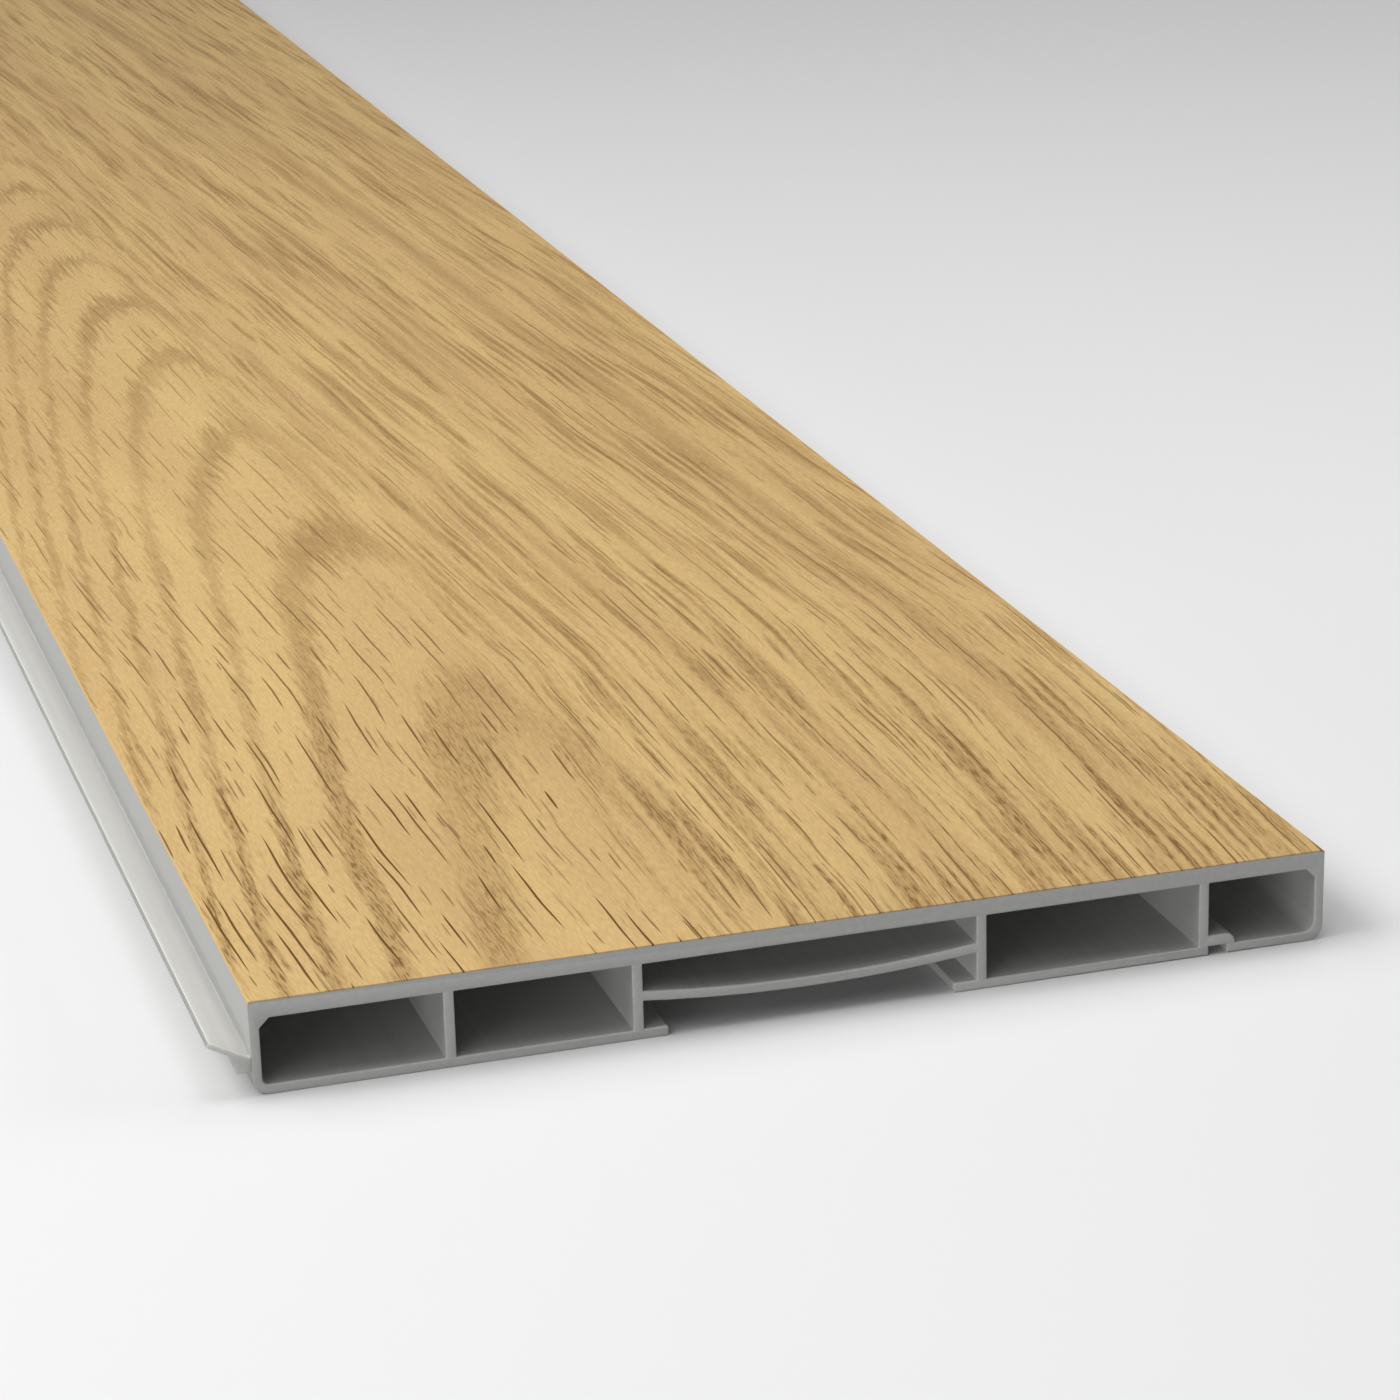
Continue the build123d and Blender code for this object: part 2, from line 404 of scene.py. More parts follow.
def extruded_pvc(board):
    """Grey rigid PVC from an extruder: matt, with faint lines that the die drew along the board.

    The walls of the closed chambers, which the piece's own attribute marks, are darkened with painted shade,
    unlike the sawn ends and the outside.
    """
    chamber_shade_factor = 0.8
    material, tree, shader = new_material("extruded_rigid_pvc")
    node = partial(add_node, tree)
    coordinates = node("TexCoord").node.outputs
    drawn = grain(tree, coordinates["Object"], (0.9 * MM, 400 * MM, 0.9 * MM), detail=3.0)
    tone = node(
        "MapRange", {"Value": drawn, "From Min": 0.3, "From Max": 0.7, "To Min": 0.96, "To Max": 1.04}
    )
    end = node("SeparateXYZ", {0: coordinates["Normal"]}).node.outputs[1]
    end = node("Math", {0: end}, operation="ABSOLUTE")
    # Painted shade: the chamber walls, but not their sawn ends, are darkened as if in the chambers' shade
    chamber = node("Attribute", attribute_name="chamber").node.outputs["Fac"]
    wall = node("MapRange", {"Value": end, "From Min": 0.9, "From Max": 0.4, "To Max": chamber})
    painted_chamber_shade = node("MapRange", {"Value": wall, "To Min": 1.0, "To Max": chamber_shade_factor})
    tone = node("Math", {0: tone, 1: painted_chamber_shade}, operation="MULTIPLY")
    colour = node(
        "Mix",
        {"Factor": 1.0, "A": (*board.colour, 1.0), "B": tone},
        data_type="RGBA", blend_type="MULTIPLY"
    )
    tree.links.new(colour, shader["Base Color"])
    shader["Roughness"].default_value = 0.55
    shader["IOR"].default_value = 1.53
    bump = node("Bump", {"Height": drawn, "Strength": 0.2, "Distance": 0.02 * MM})
    tree.links.new(bump, shader["Normal"])
    return material


def soft_pvc(lip, wall):
    """Soft PVC run on beside the rigid board: milky and satin, and light goes through it.

    The skin that the die left is pale, with a painted highlight on the narrow ledge beside the side wall.
    The sawn ends and the thin edge of the flap, facing along the board and along the flap, get painted
    shade.
    """
    highlight_width = 1.3 * lip.ledge
    material, tree, shader = new_material("coextruded_soft_pvc")
    node = partial(add_node, tree)
    coordinates = node("TexCoord").node.outputs
    drawn = grain(tree, coordinates["Object"], (1.2 * MM, 150 * MM, 1.2 * MM), detail=2.0)
    tone = node(
        "MapRange", {"Value": drawn, "From Min": 0.3, "From Max": 0.7, "To Min": 0.97, "To Max": 1.03}
    )
    outwards = (-cos(lip.flap_angle), 0.0, sin(lip.flap_angle))
    edge = node("VectorMath", {0: coordinates["Normal"], 1: outwards}, operation="DOT_PRODUCT")
    edge = edge.node.outputs["Value"]
    # Masks of the faces that look along the board and along the flap, which get painted shade
    end = node("SeparateXYZ", {0: coordinates["Normal"]}).node.outputs[1]
    end = node("Math", {0: end}, operation="ABSOLUTE")
    end = node("MapRange", {"Value": end, "From Min": 0.7, "From Max": 0.95})
    edge = node("MapRange", {"Value": edge, "From Min": 0.7, "From Max": 0.95})
    # Painted highlight on the narrow ledge at the flap's root, beside the side wall
    across = node("SeparateXYZ", {0: coordinates["Object"]})
    pale = node("Math", {0: across, 1: wall - highlight_width}, operation="GREATER_THAN")
    skin = node("Mix", {"Factor": pale, "A": (*lip.colour, 1.0), "B": (*lip.painted_root_highlight, 1.0)}, data_type="RGBA")
    skin = node("Mix", {"Factor": end, "A": skin, "B": (*lip.cut, 1.0)}, data_type="RGBA")
    skin = node("Mix", {"Factor": edge, "A": skin, "B": (*lip.painted_edge_shade, 1.0)}, data_type="RGBA")
    colour = node("Mix", {"Factor": 1.0, "A": skin, "B": tone}, data_type="RGBA", blend_type="MULTIPLY")
    tree.links.new(colour, shader["Base Color"])
    shader["Roughness"].default_value = 0.38
    shader["IOR"].default_value = 1.52
    shader["Subsurface Weight"].default_value = 1.0
    shader["Subsurface Radius"].default_value = (1.0, 1.0, 1.0)
    shader["Subsurface Scale"].default_value = 2.0 * MM
    return material


def film_fibres(tree, face):
    """Return the place across the print's fibres, and the places across and along them as one vector.

    Places are in millimetres. Near the end the fibres fan out from a line beside the middle of the board.
    The fan is a parabola of the place along that is level at the fan's length, times a rate and the
    distance from that line. Past the first arch the fibres lean evenly towards the floor edge, and two
    noises bend them.
    """
    fan_length = 140.0
    fan_line = -20.0
    fan_rate = 0.001
    drift_start = 120.0
    drift_slope = 0.046
    wander_width = 4.0
    node = partial(add_node, tree)
    across, along, _ = node("SeparateXYZ", {0: face}).node.outputs
    near = node("Math", {0: along, 1: fan_length}, operation="MINIMUM")
    fan = node("Math", {0: near, 1: -0.5 / fan_length, 2: 1.0}, operation="MULTIPLY_ADD")
    fan = node("Math", {0: fan, 1: near}, operation="MULTIPLY")
    from_line = node("Math", {0: across, 1: fan_line}, operation="SUBTRACT")
    fan = node("Math", {0: fan, 1: from_line}, operation="MULTIPLY")
    fibre = node("Math", {0: fan, 1: -fan_rate, 2: across}, operation="MULTIPLY_ADD")
    past_arch = node("Math", {0: along, 1: drift_start}, operation="SUBTRACT")
    past_arch = node("Math", {0: past_arch, 1: 0.0}, operation="MAXIMUM")
    fibre = node("Math", {0: past_arch, 1: drift_slope, 2: fibre}, operation="MULTIPLY_ADD")
    wander = grain(tree, face, (30, 110, 0))
    fibre = node("Math", {0: wander, 1: wander_width, 2: fibre}, operation="MULTIPLY_ADD")
    bend = grain(tree, face, (9, 26, 0))
    fibre = node("Math", {0: bend, 1: fibre}, operation="ADD")
    return fibre, node("CombineXYZ", {0: fibre, 1: along})


def film_rings(tree, face, fibres):
    """Return the print's ring count, and the distance across from the arches' middle line.

    Ring lines are the whole numbers of the count, and they are hyperbolas. With the distance from the
    middle line and the width of the bow, the arch is the root of the sum of their squares, less that width.
    The reach is the place along plus a steepness times the arch, and two noises ripple and feather it. The
    steepness is greater on the top side, so each arch comes back there as a steep leg. The count grows with
    the square of the reach while the arches close up, and evenly beyond.
    """
    line_shift = 14.0
    line_slope = 0.028
    bow_width = 33.2
    floor_steepness = 10.5
    top_steepness = 30.0
    ripple_reach = 20.0
    feather_reach = 40.0
    closing_reach = 480.0
    first_count = 1.478
    first_rate = 0.0029
    rate_growth = 0.0000227
    far_rate = 0.0247
    node = partial(add_node, tree)
    across, along, _ = node("SeparateXYZ", {0: face}).node.outputs
    off_line = node("Math", {0: along, 1: line_slope, 2: line_shift}, operation="MULTIPLY_ADD")
    off_line = node("Math", {0: across, 1: off_line}, operation="ADD")
    arch = node("Math", {0: off_line, 1: off_line, 2: bow_width ** 2}, operation="MULTIPLY_ADD")
    arch = node("Math", {0: arch, 1: 0.5}, operation="POWER")
    arch = node("Math", {0: arch, 1: bow_width}, operation="SUBTRACT")
    top_side = node("Math", {0: off_line, 1: 0.0}, operation="GREATER_THAN")
    steepness = node("MapRange", {"Value": top_side, "To Min": floor_steepness, "To Max": top_steepness})
    reach = node("Math", {0: arch, 1: steepness, 2: along}, operation="MULTIPLY_ADD")
    ripple = grain(tree, face, (20, 80, 0), detail=2.0)
    ripple = node("Math", {0: ripple, 1: 0.5}, operation="SUBTRACT")
    reach = node("Math", {0: ripple, 1: ripple_reach, 2: reach}, operation="MULTIPLY_ADD")
    feather = grain(tree, fibres, (0.7, 16, 0), detail=2.0)
    feather = node("Math", {0: feather, 1: 0.5}, operation="SUBTRACT")
    reach = node("Math", {0: feather, 1: feather_reach, 2: reach}, operation="MULTIPLY_ADD")
    closing = node("Math", {0: reach, 1: closing_reach}, operation="MINIMUM")
    beyond = node("Math", {0: reach, 1: closing}, operation="SUBTRACT")
    count = node("Math", {0: closing, 1: rate_growth, 2: first_rate}, operation="MULTIPLY_ADD")
    count = node("Math", {0: count, 1: closing, 2: first_count}, operation="MULTIPLY_ADD")
    count = node("Math", {0: beyond, 1: far_rate, 2: count}, operation="MULTIPLY_ADD")
    return count, off_line


def film_bands(tree, face, count, off_line, near_share):
    """Return a mask of the early wood along the ring lines.

    The bands are patchy. They are strongest at the arches' heads and near the end of the board, weaker on
    the first ring, and they fade out on the arches' steep legs.
    """
    node = partial(add_node, tree)
    ring = node("Math", {0: count, 1: 0.5}, operation="PINGPONG")
    band = node(
        "MapRange", {"Value": ring, "From Min": 0.27, "From Max": 0.03}, interpolation_type="SMOOTHSTEP"
    )
    patch = grain(tree, face, (14, 60, 0))
    patch = node("MapRange", {"Value": patch, "From Min": 0.35, "From Max": 0.55, "To Min": 0.6})
    head = node("MapRange", {"Value": off_line, "From Min": -30.0, "From Max": -4.0, "To Min": 0.7})
    leg = node("MapRange", {"Value": off_line, "From Min": 14.0, "From Max": 2.0})
    first = node("MapRange", {"Value": count, "From Min": 1.7, "From Max": 2.8, "To Min": 0.6})
    near = node("MapRange", {"Value": near_share, "To Min": 0.82})
    for share in (patch, head, leg, first, near):
        band = node("Math", {0: band, 1: share}, operation="MULTIPLY")
    return band


def film_streaks(tree, fibre, fibres, along, top_share):
    """Return a mask of the streaks of early wood, which run along the fibres in bundles on the top side.

    One seam, the widest streak, starts a little way along the board and keeps to one fibre.
    """
    wide_share = 0.7
    haze_share = 0.25
    seam_fibre = 56.0
    node = partial(add_node, tree)
    bundle = grain(tree, fibres, (5, 170, 0), detail=2.0)
    bundle = node("MapRange", {"Value": bundle, "From Min": 0.38, "From Max": 0.6})
    wide = marks(tree, fibres, lane=3.3, cell=110, width=2.8, shortest=0.3, missing=0.0, core=0.0)
    thin = marks(tree, fibres, lane=1.7, cell=75, width=1.3, shortest=0.25, missing=0.1, core=0.1)
    hair = marks(tree, fibres, lane=0.9, cell=50, width=0.45, shortest=0.25, missing=0.3, core=0.3)
    streak = node("Math", {0: wide, 1: wide_share}, operation="MULTIPLY")
    streak = node("Math", {0: streak, 1: thin}, operation="MAXIMUM")
    streak = node("Math", {0: streak, 1: hair}, operation="MAXIMUM")
    bundle_share = node("MapRange", {"Value": bundle, "To Min": 0.5})
    streak = node("Math", {0: streak, 1: bundle_share}, operation="MULTIPLY")
    streak = node("Math", {0: bundle, 1: haze_share, 2: streak}, operation="MULTIPLY_ADD")
    streak_share = node("MapRange", {"Value": top_share, "To Min": 0.12})
    streak = node("Math", {0: streak, 1: streak_share}, operation="MULTIPLY")
    seam = node("Math", {0: fibre, 1: seam_fibre}, operation="SUBTRACT")
    seam = node("Math", {0: seam}, operation="ABSOLUTE")
    seam = node("MapRange", {"Value": seam, "From Min": 3.0, "From Max": 0.5, "To Max": 0.6})
    started = node("MapRange", {"Value": along, "From Min": 20.0, "From Max": 110.0})
    seam = node("Math", {0: seam, 1: started}, operation="MULTIPLY")
    return node("Math", {0: streak, 1: seam}, operation="MAXIMUM")


def film_pores(tree, fibres, along, early, top_share, near_share):
    """Return a mask of the pores: short ones crowded in the early wood, and single ones along the fibres.

    The crowded pores are clearest near the end of the board. All pores are a little weaker on the top side
    and farther along.
    """
    node = partial(add_node, tree)
    speck = grain(tree, fibres, (0.3, 4.0, 0), detail=2.0)
    speck = node("MapRange", {"Value": speck, "From Min": 0.49, "From Max": 0.6})
    most = node(
        "MapRange", {"Value": along, "From Min": 140.0, "From Max": 30.0, "To Min": 0.42, "To Max": 0.9}
    )
    speck_share = node("MapRange", {"Value": early, "From Min": 0.15, "From Max": 0.8, "To Max": most})
    speck = node("Math", {0: speck, 1: speck_share}, operation="MULTIPLY")
    short = marks(tree, fibres, lane=1.3, cell=13, width=0.34, shortest=0.25, missing=0.7, core=0.6)
    long = marks(tree, fibres, lane=2.2, cell=36, width=0.38, shortest=0.2, missing=0.1, core=0.6)
    pore = node("Math", {0: short, 1: long}, operation="MAXIMUM")
    pore = node("Math", {0: pore, 1: speck}, operation="MAXIMUM")
    side_share = node("MapRange", {"Value": top_share, "To Min": 0.95, "To Max": 0.7})
    far_share = node("MapRange", {"Value": near_share, "To Min": 0.5})
    open_share = node("Math", {0: side_share, 1: far_share}, operation="MULTIPLY")
    return node("Math", {0: pore, 1: open_share}, operation="MULTIPLY")


def oak_film(film, board):
    """Printed PVC film with an oak figure: satin, with arched rings, streaks, fibres and open pores.

    Places on the face are in millimetres from the middle of the near end. The wood gets painted shade
    that darkens it towards the far end, and it is plain where the film turns down over the long edges.
    """
    early_share = 0.68
    fine_relief = 0.3
    material, tree, shader = new_material("oak_effect_film")
    node = partial(add_node, tree)
    coordinates = node("TexCoord").node.outputs
    middle = board.floor_edge + board.width / 2
    face = node(
        "Mapping",
        {
            "Vector": coordinates["Object"],
            "Scale": (1 / MM, 1 / MM, 0.0),
            "Location": (-middle / MM, board.length / 2 / MM, 0.0),
        }
    )
    along = node("SeparateXYZ", {0: face}).node.outputs[1]
    near_share = node("MapRange", {"Value": along, "From Min": 230.0, "From Max": 50.0})
    fibre, fibres = film_fibres(tree, face)
    count, off_line = film_rings(tree, face, fibres)
    top_share = node("MapRange", {"Value": off_line, "From Min": -3.0, "From Max": 9.0})
    band = film_bands(tree, face, count, off_line, near_share)
    streak = film_streaks(tree, fibre, fibres, along, top_share)
    early = node("Math", {0: band, 1: streak}, operation="MAXIMUM")
    pore = film_pores(tree, fibres, along, early, top_share, near_share)

    # Tone of the wood, then its early wood, its fine fibres and painted shade to the far end, then its pores
    tone = grain(tree, fibres, (16, 200, 0), detail=3.0)
    tone = node("MapRange", {"Value": tone, "From Min": 0.35, "From Max": 0.65})
    wood = node(
        "Mix", {"Factor": tone, "A": (*film.light, 1.0), "B": (*film.middle, 1.0)}, data_type="RGBA"
    )
    early = node("Math", {0: early, 1: early_share}, operation="MULTIPLY")
    wood = node("Mix", {"Factor": early, "A": wood, "B": (*film.ring, 1.0)}, data_type="RGBA")
    fine = grain(tree, fibres, (0.3, 2.5, 0), detail=2.0)
    shade = node(
        "MapRange", {"Value": fine, "From Min": 0.3, "From Max": 0.7, "To Min": 0.9, "To Max": 1.08}
    )
    # Painted shade: the wood darkens towards the far end, where the light falls off
    painted_far_shade = node(
        "MapRange", {"Value": along, "From Min": 150.0, "From Max": 600.0, "To Min": 1.0, "To Max": 0.9}
    )
    shade = node("Math", {0: shade, 1: painted_far_shade}, operation="MULTIPLY")
    wood = node("Mix", {"Factor": 1.0, "A": wood, "B": shade}, data_type="RGBA", blend_type="MULTIPLY")
    wood = node("Mix", {"Factor": pore, "A": wood, "B": (*film.pore, 1.0)}, data_type="RGBA")

    # Turned edges
    sideways = node("SeparateXYZ", {0: coordinates["Normal"]})
    sideways = node("Math", {0: sideways}, operation="ABSOLUTE")
    turned = node("MapRange", {"Value": sideways, "From Min": 0.3, "From Max": 0.7})
    wood = node("Mix", {"Factor": turned, "A": wood, "B": (*film.edge, 1.0)}, data_type="RGBA")
    tree.links.new(wood, shader["Base Color"])

    # Relief and gloss
    relief = node("Math", {0: fine, 1: fine_relief}, operation="MULTIPLY")
    relief = node("Math", {0: relief, 1: pore}, operation="SUBTRACT")
    bump = node("Bump", {"Height": relief, "Strength": 0.5, "Distance": 0.06 * MM})
    tree.links.new(bump, shader["Normal"])
    gloss = node(
        "MapRange", {"Value": fine, "From Min": 0.3, "From Max": 0.7, "To Min": 0.62, "To Max": 0.52}
    )
    tree.links.new(gloss, shader["Roughness"])
    shader["IOR"].default_value = 1.53
    shader["Specular IOR Level"].default_value = 0.03
    return material


def paper_sweep(stage):
    """Matt paper on the floor, with painted shade from pale in front to grey behind and towards the top
    side, that fades into the background.

    The light that it throws back on the board takes a darker colour than the one that it shows.
    """
    material, tree, shader = new_material("paper_sweep")
    node = partial(add_node, tree)
    place = node("TexCoord").node.outputs["Object"]
    across, along, _ = node("SeparateXYZ", {0: place}).node.outputs
    # Painted shade: the sweep darkens behind the board and towards its top side, as the light falls off
    behind = node("MapRange", {"Value": along, "From Min": -0.35, "From Max": 0.45, "To Max": 0.7})
    beside = node("MapRange", {"Value": across, "From Min": -0.15, "From Max": 0.15, "To Max": 0.2})
    painted_floor_shade = node("Math", {0: behind, 1: beside}, operation="ADD")
    paper = node(
        "Mix",
        {"Factor": painted_floor_shade, "A": (*stage.near_floor, 1.0), "B": (*stage.far_floor, 1.0)},
        data_type="RGBA"
    )
    shown = seen_rays(tree)
    paper = node("Mix", {"Factor": shown, "A": (*stage.bounce, 1.0), "B": paper}, data_type="RGBA")
    tree.links.new(paper, shader["Base Color"])
    shader["Roughness"].default_value = 0.9
    shader["Specular IOR Level"].default_value = 0.0
    distance = node("VectorMath", {0: place}, operation="LENGTH")
    away = node(
        "MapRange", {"Value": distance, "From Min": 0.6, "From Max": 1.15}, interpolation_type="SMOOTHSTEP"
    )
    faded = node("Math", {0: away, 1: shown}, operation="MULTIPLY")
    glow = node("Emission", {"Color": (*stage.background, 1.0), "Strength": 1.0})
    output = tree.nodes["Material Output"].inputs["Surface"]
    mixed = node("MixShader", {0: faded, 1: tree.nodes["Principled BSDF"].outputs[0], 2: glow})
    tree.links.new(mixed, output)
    return material


def seen_rays(tree):
    """Return 1 for rays that show a surface, seen straight, in gloss or through glass, and 0 for light."""
    path = add_node(tree, "LightPath").node.outputs
    shown = add_node(
        tree, "Math", {0: path["Is Camera Ray"], 1: path["Is Glossy Ray"]}, operation="MAXIMUM"
    )
    return add_node(tree, "Math", {0: shown, 1: path["Is Transmission Ray"]}, operation="MAXIMUM")


# Operators

class ToeKickAddBoard(bpy.types.Operator):
    """Add the hollow extruded board: the outer outline, then a hole for each chamber"""

    bl_idname = "toe_kick.add_board"
    bl_label = "Add extruded board"

    def execute(self, context):
        board = context.scene.toe_kick_board
        film = context.scene.toe_kick_film
        sharp = board.die_radius
        floor_edge = board.floor_edge
        top_edge = floor_edge + board.width
        film_foot = board.thickness - film.edge_radius
        core_top = board.thickness - film.thickness
        core_radius = film.edge_radius - film.thickness
        ceiling = core_top - board.face_wall
        base = board.back_wall
        floor_web = floor_edge + board.floor_web_place
        top_web = top_edge - board.top_web_place
        half_web = board.web_wall / 2
        channel_middle = (floor_edge + top_edge) / 2 + board.channel_offset
        channel_low = channel_middle - board.channel_width / 2
        channel_high = channel_middle + board.channel_width / 2
        mouth_low = channel_middle - board.mouth_width / 2
        mouth_high = channel_middle + board.mouth_width / 2
        groove_low = top_web + half_web
        groove_high = groove_low + board.groove_width
        outer = rounded(np.vstack([
            (floor_edge, 0, board.back_corner_radius),
            (mouth_low, 0, board.hook_radius),
            (mouth_low, base, board.hook_radius),
            (channel_low, base, sharp),
            (channel_low, board.bridge_height, sharp),
            bow(channel_low, channel_high, board.bridge_height, board.bridge_sag),
            (channel_high, board.bridge_height, sharp),
            (channel_high, base, sharp),
            (mouth_high, base, board.hook_radius),
            (mouth_high, 0, board.hook_radius),
            (groove_low, 0, sharp),
            (groove_low, board.groove_depth, sharp),
            (groove_high, board.groove_depth, sharp),
            (groove_high, 0, sharp),
            (top_edge, 0, board.back_corner_radius),
            (top_edge, film_foot, 0),
            (top_edge - film.thickness, film_foot, 0),
            (top_edge - film.thickness, core_top, core_radius),
            (floor_edge + film.thickness, core_top, core_radius),
            (floor_edge + film.thickness, film_foot, 0),
            (floor_edge, film_foot, 0),
        ]))
        floor_side = floor_edge + board.side_wall
        floor_chamber = rounded([
            (floor_side, base, board.floor_chamber_radius),
            (floor_side, ceiling - board.corner_brace, sharp),
            (floor_side + board.corner_brace, ceiling, sharp),
            (floor_web - half_web, ceiling, sharp),
            (floor_web - half_web, base, sharp),
        ])
        lower_chamber = rounded([
            (floor_web + half_web, base, sharp),
            (floor_web + half_web, ceiling, sharp),
            (channel_low - board.web_wall, ceiling, sharp),
            (channel_low - board.web_wall, base, sharp),
        ])
        bridge_top = board.bridge_height + board.bridge_wall
        bridge_chamber = rounded(np.vstack([
            (channel_low, bridge_top, sharp),
            (channel_low, ceiling, sharp),
            (channel_high, ceiling, sharp),
            (channel_high, bridge_top, sharp),
            bow(channel_low, channel_high, bridge_top, board.bridge_sag)[::-1],
        ]))
        upper_chamber = rounded([
            (channel_high + board.web_wall, base, sharp),
            (channel_high + board.web_wall, ceiling, sharp),
            (top_web - half_web, ceiling, sharp),
            (top_web - half_web, base, sharp),
        ])
        top_side = top_edge - board.side_wall
        fold_side = groove_high + board.groove_cheek
        fold_top = board.groove_depth + board.groove_roof
        top_chamber = rounded([
            (groove_low, fold_top, sharp),
            (groove_low, ceiling, sharp),
            (top_side - board.corner_brace, ceiling, sharp),
            (top_side, ceiling - board.corner_brace, sharp),
            (top_side, base, board.top_chamber_radius),
            (fold_side, base, sharp),
            (fold_side, fold_top, board.groove_fold_radius),
        ])
        outlines = [outer, floor_chamber, lower_chamber, bridge_chamber, upper_chamber, top_chamber]
        shape = carried_along(outlines, board.length, board.end_break, film_foot)
        piece = new_piece("extruded_board", *shape, extruded_pvc(board))
        # Mark the points of the chambers' outlines for the painted shade on the chamber walls
        rows = len(shape[0]) // sum(len(outline) for outline in outlines)
        in_chamber = np.arange(len(shape[0])) >= rows * len(outer)
        chamber = piece.data.attributes.new("chamber", "FLOAT", "POINT")
        chamber.data.foreach_set("value", in_chamber.astype(np.float32))
        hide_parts("plinth_profile")
        return {"FINISHED"}


class ToeKickAddFilm(bpy.types.Operator):
    """Add the film: a thin skin over the face that turns down over both long edges"""

    bl_idname = "toe_kick.add_film"
    bl_label = "Add oak-effect film"

    def execute(self, context):
        board = context.scene.toe_kick_board
        film = context.scene.toe_kick_film
        floor_edge = board.floor_edge
        top_edge = floor_edge + board.width
        top = board.thickness
        foot = top - film.edge_radius
        under = top - film.thickness
        inner_radius = film.edge_radius - film.thickness
        outline = rounded([
            (top_edge - film.thickness, foot, 0),
            (top_edge, foot, 0),
            (top_edge, top, film.edge_radius),
            (floor_edge, top, film.edge_radius),
            (floor_edge, foot, 0),
            (floor_edge + film.thickness, foot, 0),
            (floor_edge + film.thickness, under, inner_radius),
            (top_edge - film.thickness, under, inner_radius),
        ])
        shape = carried_along([outline], board.length, film.end_break, 2 * top)
        piece = new_piece("oak_face_film", *shape, oak_film(film, board))
        from_middle = np.abs(outline[:, 0] - (floor_edge + top_edge) / 2)
        tolerance = film.thickness / 100
        inside = from_middle < board.width / 2 - film.thickness + tolerance
        inner = inside & (outline[:, 1] < under + tolerance)
        add_bake_map(piece, outline, inner)
        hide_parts("decor_film")
        return {"FINISHED"}


class ToeKickAddLip(bpy.types.Operator):
    """Add the soft lip: a foot on the side wall, and a thin flap that rises towards the face"""

    bl_idname = "toe_kick.add_lip"
    bl_label = "Add sealing lip"

    def execute(self, context):
        board = context.scene.toe_kick_board
        lip = context.scene.toe_kick_lip
        wall = board.floor_edge
        outwards = np.array([-cos(lip.flap_angle), sin(lip.flap_angle)])
        downwards = np.array([-sin(lip.flap_angle), -cos(lip.flap_angle)])
        root = np.array([wall - lip.ledge, lip.high])
        tip = root + lip.flap_length * outwards
        under_tip = tip + lip.flap_thickness * downwards
        held = under_tip - (lip.flap_length - lip.flap_held) * outwards
        round_off = lip.corner_radius
        outline = rounded([
            (*root, round_off),
            (*tip, round_off),
            (*under_tip, round_off),
            (*held, round_off),
            (wall - lip.foot_reach, lip.low, round_off),
            (wall, lip.low, 0),
            (wall, lip.high, 0),
        ])
        shape = carried_along([outline], board.length, lip.corner_radius / 2, 2 * board.thickness)
        piece = new_piece("soft_floor_lip", *shape, soft_pvc(lip, wall))
        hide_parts("sealing_lip")
        return {"FINISHED"}


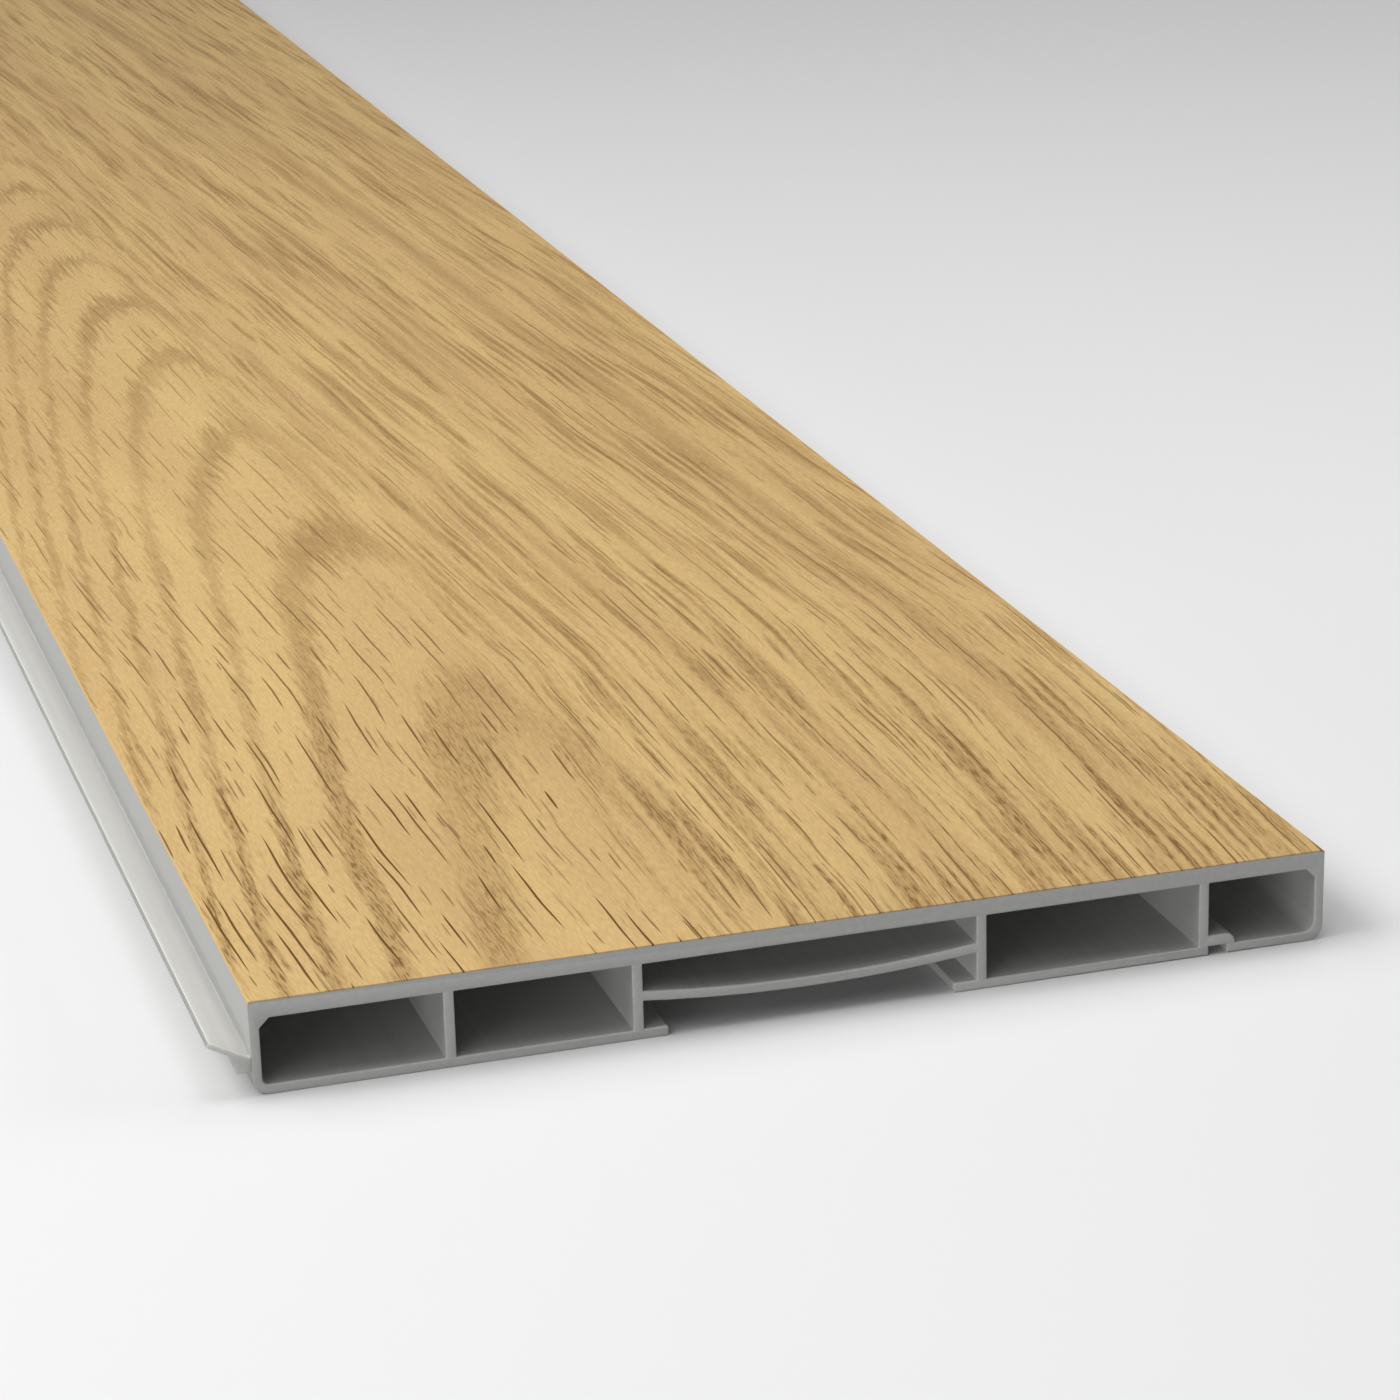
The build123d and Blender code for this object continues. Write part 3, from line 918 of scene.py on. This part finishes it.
class ToeKickSetStage(bpy.types.Operator):
    """Set the floor, the lamps and the camera"""

    bl_idname = "toe_kick.set_stage"
    bl_label = "Set stage"

    def execute(self, context):
        stage = context.scene.toe_kick_stage
        half = stage.floor_size / 2
        mesh = bpy.data.meshes.new("floor")
        corners = [(-half, -half, 0), (half, -half, 0), (half, half, 0), (-half, half, 0)]
        mesh.from_pydata(corners, [], [(0, 1, 2, 3)])
        mesh.materials.append(paper_sweep(stage))
        floor = bpy.data.objects.new("floor", mesh)
        context.collection.objects.link(floor)

        # Each lamp has its bearing round the board from the front and its height, both in degrees, its power
        # in watts, and its share of the lamp distance and size
        panels = {
            "floor_side": (90.0, 48.0, 19.0, 1.0),
            "front_corner": (45.0, 48.0, 4.6, 1.0),
            "behind_floor_side": (135.0, 48.0, 8.0, 1.0),
            "behind_top_side": (225.0, 48.0, 4.0, 1.0),
            "top_side": (270.0, 18.0, 10.0, 1.0),
            "overhead": (0.0, 90.0, 2.4, 0.5),
        }
        strips = {
            "front_strip": (10.0, 6.0, 5.2, 1.0),
            "front_corner_strip": (50.0, 6.0, 9.8, 1.0),
        }
        target = Vector((0.0, -0.4, 0.0))
        for name, (bearing, height, power, share) in (panels | strips).items():
            lamp = bpy.data.lights.new(name, "AREA")
            lamp.shape = "RECTANGLE" if name in strips else "DISK"
            lamp.size = stage.lamp_size * share
            lamp.size_y = stage.strip_height
            lamp.energy = power
            way = Vector((
                -sin(radians(bearing)) * cos(radians(height)),
                -cos(radians(bearing)) * cos(radians(height)),
                sin(radians(height)),
            ))
            holder = bpy.data.objects.new(name, lamp)
            holder.location = target + stage.lamp_distance * share * way
            holder.rotation_euler = way.to_track_quat("Z", "Y").to_euler()
            context.collection.objects.link(holder)

        world = bpy.data.worlds.new("studio")
        world.use_nodes = True
        tree = world.node_tree
        sky = tree.nodes["Background"]
        sky.inputs["Color"].default_value = (*stage.background, 1.0)
        tree.links.new(seen_rays(tree), sky.inputs["Strength"])
        context.scene.world = world

        lens = bpy.data.cameras.new("camera")
        lens.lens = stage.lens
        lens.sensor_width = 36.0
        lens.clip_start = 0.01
        camera = bpy.data.objects.new("camera", lens)
        camera.location = stage.camera_place
        camera.rotation_euler = Euler(stage.camera_turn)
        context.collection.objects.link(camera)
        context.scene.camera = camera
        context.scene.view_settings.view_transform = "Standard"
        return {"FINISHED"}


class ToeKickPanel(bpy.types.Panel):
    """Lists the settings and the operators"""

    bl_idname = "VIEW3D_PT_toe_kick"
    bl_label = "Toe Kick"
    bl_space_type = "VIEW_3D"
    bl_region_type = "UI"
    bl_category = "Toe Kick"

    def draw(self, context):
        for name, group in GROUPS.items():
            box = self.layout.box()
            box.label(text=group.__doc__)
            settings = getattr(context.scene, name)
            for setting in group.__annotations__:
                box.prop(settings, setting)
        for operator in OPERATORS:
            self.layout.operator(operator.bl_idname)


GROUPS = {
    "toe_kick_board": ToeKickBoard,
    "toe_kick_film": ToeKickFilm,
    "toe_kick_lip": ToeKickLip,
    "toe_kick_stage": ToeKickStage,
}
OPERATORS = (ToeKickAddBoard, ToeKickAddFilm, ToeKickAddLip, ToeKickSetStage)


def register():
    """Register the classes and keep the settings on the scene."""
    for name, group in GROUPS.items():
        bpy.utils.register_class(group)
        setattr(bpy.types.Scene, name, bpy.props.PointerProperty(type=group))
    for operator in OPERATORS:
        bpy.utils.register_class(operator)
    bpy.utils.register_class(ToeKickPanel)


def unregister():
    """Take the classes and the settings away again."""
    bpy.utils.unregister_class(ToeKickPanel)
    for operator in reversed(OPERATORS):
        bpy.utils.unregister_class(operator)
    for name, group in GROUPS.items():
        delattr(bpy.types.Scene, name)
        bpy.utils.unregister_class(group)


def main():
    register()
    bpy.ops.toe_kick.add_board()
    bpy.ops.toe_kick.add_film()
    bpy.ops.toe_kick.add_lip()
    bpy.ops.toe_kick.set_stage()


if __name__ == "__main__":
    main()
